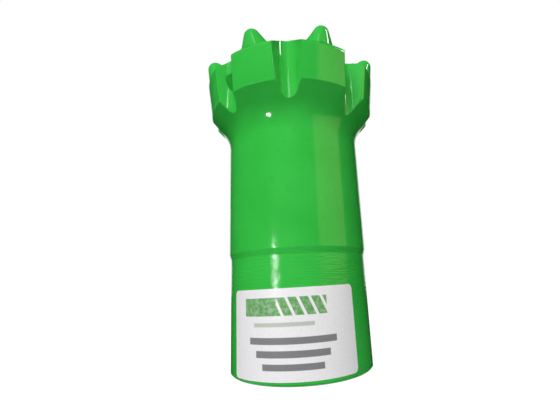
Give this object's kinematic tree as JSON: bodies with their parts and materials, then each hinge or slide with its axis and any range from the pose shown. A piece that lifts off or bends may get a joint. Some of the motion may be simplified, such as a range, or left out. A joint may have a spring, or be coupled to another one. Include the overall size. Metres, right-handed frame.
{
  "type": "button drill bit",
  "caption": "Threaded button drill bit: a steel skirt with a left-hand thread socket, a flared grooved head and pressed carbide buttons.",
  "frame": {"origin": "centre of the skirt's open end face, on the bit's axis", "axes": "+Z along the bit's axis from the skirt to the drilling face; -Y through one side groove, on the label's side; +X to the right seen from the label's side"},
  "size_m": [0.0978, 0.0976, 0.17],
  "materials": {
    "body_paint": "glossy green enamel over forged steel",
    "button_paint": "the same glossy green enamel over carbide",
    "label_paper": "satin coated label paper"
  },
  "bodies": {
    "root": {"bit_body": "body_paint", "label": "label_paper", "gauge_button_1": "button_paint", "gauge_button_2": "button_paint", "gauge_button_3": "button_paint", "gauge_button_4": "button_paint", "gauge_button_5": "button_paint", "gauge_button_6": "button_paint", "gauge_button_7": "button_paint", "gauge_button_8": "button_paint", "front_button_1": "button_paint", "front_button_2": "button_paint", "front_button_3": "button_paint", "front_button_4": "button_paint", "front_button_5": "button_paint", "front_button_6": "button_paint"}
  },
  "joints": []
}
